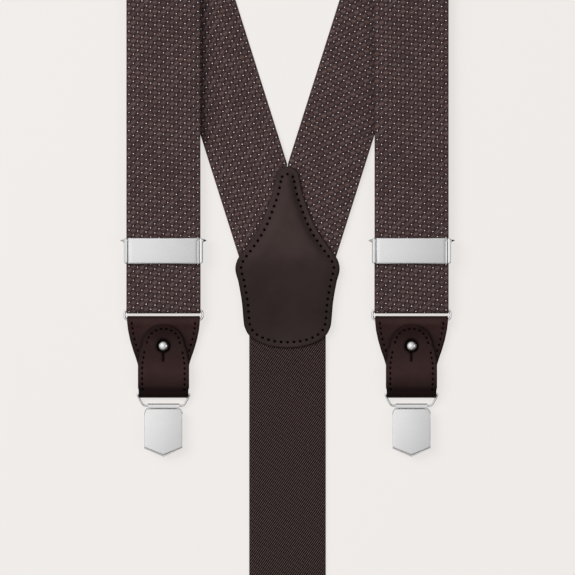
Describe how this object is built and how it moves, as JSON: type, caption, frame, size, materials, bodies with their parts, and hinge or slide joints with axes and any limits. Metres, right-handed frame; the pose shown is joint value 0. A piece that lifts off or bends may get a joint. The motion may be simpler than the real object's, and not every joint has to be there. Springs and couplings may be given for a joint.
{
  "type": "suspenders",
  "caption": "Y-back suspenders laid flat: woven straps looping over the shoulders, leather yoke, elastic back strap, slide adjusters and leather tabs with metal clips.",
  "frame": {"origin": "on the yoke's back face, on the centre line, at the yoke's widest level", "axes": "+Y along the centre line from the back clip towards the shoulders, +Z out of the face side, +X to the viewer's right"},
  "size_m": [0.23, 0.7225, 0.0353],
  "materials": {
    "woven_webbing": "woven diamond pattern with pin dots",
    "elastic": "fine diagonal twill",
    "leather": "smooth matt leather with dark stitching",
    "polished_metal": "polished",
    "satin_metal": "satin"
  },
  "bodies": {
    "harness": {"front_strap_left": "woven_webbing", "front_strap_right": "woven_webbing", "yoke_front_leather": "leather", "yoke_back_leather": "leather", "back_elastic": "elastic"},
    "adjuster_left": {"adjuster_frame_left": "polished_metal", "adjuster_pin_left": "polished_metal"},
    "lever_left": {"adjuster_lever_left": "polished_metal"},
    "adjuster_right": {"adjuster_frame_right": "polished_metal", "adjuster_pin_right": "polished_metal"},
    "lever_right": {"adjuster_lever_right": "polished_metal"},
    "strap_end_left": {"strap_end_left": "woven_webbing"},
    "ring_left": {"ring_left": "polished_metal"},
    "tab_left": {"tab_front_left": "leather", "tab_back_left": "leather", "stud_left": "polished_metal", "stud_rivet_left": "polished_metal"},
    "flap_left": {"tab_flap_left": "leather"},
    "clip_ring_left": {"clip_ring_left": "polished_metal"},
    "clip_left": {"clip_back_left": "satin_metal", "clip_axle_left": "polished_metal"},
    "clip_jaw_left": {"clip_jaw_left": "satin_metal"},
    "clip_cover_left": {"clip_cover_left": "satin_metal"},
    "strap_end_right": {"strap_end_right": "woven_webbing"},
    "ring_right": {"ring_right": "polished_metal"},
    "tab_right": {"tab_front_right": "leather", "tab_back_right": "leather", "stud_right": "polished_metal", "stud_rivet_right": "polished_metal"},
    "flap_right": {"tab_flap_right": "leather"},
    "clip_ring_right": {"clip_ring_right": "polished_metal"},
    "clip_right": {"clip_back_right": "satin_metal", "clip_axle_right": "polished_metal"},
    "clip_jaw_right": {"clip_jaw_right": "satin_metal"},
    "clip_cover_right": {"clip_cover_right": "satin_metal"},
    "strap_end_back": {"strap_end_back": "elastic"},
    "ring_back": {"ring_back": "polished_metal"},
    "tab_back": {"tab_front_back": "leather", "tab_back_back": "leather", "stud_back": "polished_metal", "stud_rivet_back": "polished_metal"},
    "flap_back": {"tab_flap_back": "leather"},
    "clip_ring_back": {"clip_ring_back": "polished_metal"},
    "clip_back": {"clip_back_back": "satin_metal", "clip_axle_back": "polished_metal"},
    "clip_jaw_back": {"clip_jaw_back": "satin_metal"},
    "clip_cover_back": {"clip_cover_back": "satin_metal"}
  },
  "joints": [
    {"name": "adjuster_slide_left", "type": "slide", "parent": "harness", "child": "adjuster_left", "axis": [0, 1, 0], "range_m": [0, 0.12], "deforming": ["front_strap_left", "strap_end_left"]},
    {"name": "adjuster_lever_left", "type": "hinge", "parent": "adjuster_left", "child": "lever_left", "pos_m": [-0.0586, 0.01385, 0.0061], "axis": [-1, 0, 0], "range_deg": [0, 60]},
    {"name": "strap_end_slide_left", "type": "slide", "parent": "harness", "child": "strap_end_left", "axis": [0, 1, 0], "range_m": [0, 0.06], "deforming": ["front_strap_left", "strap_end_left"]},
    {"name": "adjuster_slide_right", "type": "slide", "parent": "harness", "child": "adjuster_right", "axis": [0, 1, 0], "range_m": [0, 0.12], "deforming": ["front_strap_right", "strap_end_right"]},
    {"name": "adjuster_lever_right", "type": "hinge", "parent": "adjuster_right", "child": "lever_right", "pos_m": [0.0586, 0.01385, 0.0061], "axis": [-1, 0, 0], "range_deg": [0, 60]},
    {"name": "strap_end_slide_right", "type": "slide", "parent": "harness", "child": "strap_end_right", "axis": [0, 1, 0], "range_m": [0, 0.06], "deforming": ["front_strap_right", "strap_end_right"]},
    {"name": "back_elastic_stretch", "type": "slide", "parent": "harness", "child": "strap_end_back", "axis": [0, -1, 0], "range_m": [0, 0.06], "stiffness_N_per_m": 120, "deforming": ["back_elastic"]},
    {"name": "ring_swing_left", "type": "hinge", "parent": "strap_end_left", "child": "ring_left", "pos_m": [-0.0586, -0.01895, 0.0032], "axis": [1, 0, 0], "range_deg": [-60, 60]},
    {"name": "tab_swing_left", "type": "hinge", "parent": "ring_left", "child": "tab_left", "pos_m": [-0.0586, -0.02355, 0.0032], "axis": [1, 0, 0], "range_deg": [-75, 75]},
    {"name": "flap_open_left", "type": "hinge", "parent": "tab_left", "child": "flap_left", "pos_m": [-0.0586, -0.0586, 0.0024], "axis": [1, 0, 0], "range_deg": [0, 105]},
    {"name": "clip_ring_swing_left", "type": "hinge", "parent": "tab_left", "child": "clip_ring_left", "pos_m": [-0.0586, -0.0586, 0.0024], "axis": [1, 0, 0], "range_deg": [-60, 60]},
    {"name": "clip_swing_left", "type": "hinge", "parent": "clip_ring_left", "child": "clip_left", "pos_m": [-0.0586, -0.06425, 0.0016], "axis": [1, 0, 0], "range_deg": [-75, 60]},
    {"name": "clip_cover_open_left", "type": "hinge", "parent": "clip_left", "child": "clip_cover_left", "pos_m": [-0.0586, -0.0676, 0.0033], "axis": [-1, 0, 0], "range_deg": [0, 90]},
    {"name": "clip_jaw_open_left", "type": "hinge", "parent": "clip_left", "child": "clip_jaw_left", "pos_m": [-0.0586, -0.0676, 0.0033], "axis": [-1, 0, 0], "range_deg": [0, 13.5]},
    {"name": "ring_swing_right", "type": "hinge", "parent": "strap_end_right", "child": "ring_right", "pos_m": [0.0586, -0.01895, 0.0032], "axis": [1, 0, 0], "range_deg": [-60, 60]},
    {"name": "tab_swing_right", "type": "hinge", "parent": "ring_right", "child": "tab_right", "pos_m": [0.0586, -0.02355, 0.0032], "axis": [1, 0, 0], "range_deg": [-75, 75]},
    {"name": "flap_open_right", "type": "hinge", "parent": "tab_right", "child": "flap_right", "pos_m": [0.0586, -0.0586, 0.0024], "axis": [1, 0, 0], "range_deg": [0, 105]},
    {"name": "clip_ring_swing_right", "type": "hinge", "parent": "tab_right", "child": "clip_ring_right", "pos_m": [0.0586, -0.0586, 0.0024], "axis": [1, 0, 0], "range_deg": [-60, 60]},
    {"name": "clip_swing_right", "type": "hinge", "parent": "clip_ring_right", "child": "clip_right", "pos_m": [0.0586, -0.06425, 0.0016], "axis": [1, 0, 0], "range_deg": [-75, 60]},
    {"name": "clip_cover_open_right", "type": "hinge", "parent": "clip_right", "child": "clip_cover_right", "pos_m": [0.0586, -0.0676, 0.0033], "axis": [-1, 0, 0], "range_deg": [0, 90]},
    {"name": "clip_jaw_open_right", "type": "hinge", "parent": "clip_right", "child": "clip_jaw_right", "pos_m": [0.0586, -0.0676, 0.0033], "axis": [-1, 0, 0], "range_deg": [0, 13.5]},
    {"name": "ring_swing_back", "type": "hinge", "parent": "strap_end_back", "child": "ring_back", "pos_m": [0, -0.26535, 0.0032], "axis": [1, 0, 0], "range_deg": [-60, 60]},
    {"name": "tab_swing_back", "type": "hinge", "parent": "ring_back", "child": "tab_back", "pos_m": [0, -0.26995, 0.0032], "axis": [1, 0, 0], "range_deg": [-75, 75]},
    {"name": "flap_open_back", "type": "hinge", "parent": "tab_back", "child": "flap_back", "pos_m": [0, -0.305, 0.0024], "axis": [1, 0, 0], "range_deg": [0, 105]},
    {"name": "clip_ring_swing_back", "type": "hinge", "parent": "tab_back", "child": "clip_ring_back", "pos_m": [0, -0.305, 0.0024], "axis": [1, 0, 0], "range_deg": [-60, 60]},
    {"name": "clip_swing_back", "type": "hinge", "parent": "clip_ring_back", "child": "clip_back", "pos_m": [0, -0.31065, 0.0016], "axis": [1, 0, 0], "range_deg": [-75, 60]},
    {"name": "clip_cover_open_back", "type": "hinge", "parent": "clip_back", "child": "clip_cover_back", "pos_m": [0, -0.314, 0.0033], "axis": [-1, 0, 0], "range_deg": [0, 90]},
    {"name": "clip_jaw_open_back", "type": "hinge", "parent": "clip_back", "child": "clip_jaw_back", "pos_m": [0, -0.314, 0.0033], "axis": [-1, 0, 0], "range_deg": [0, 13.5]}
  ],
  "couplings": [
    {"joint": "strap_end_slide_left", "follows": "adjuster_slide_left", "ratio": 0.5},
    {"joint": "strap_end_slide_right", "follows": "adjuster_slide_right", "ratio": 0.5},
    {"joint": "clip_jaw_open_left", "follows": "clip_cover_open_left", "ratio": 0.15},
    {"joint": "clip_jaw_open_right", "follows": "clip_cover_open_right", "ratio": 0.15},
    {"joint": "clip_jaw_open_back", "follows": "clip_cover_open_back", "ratio": 0.15}
  ]
}
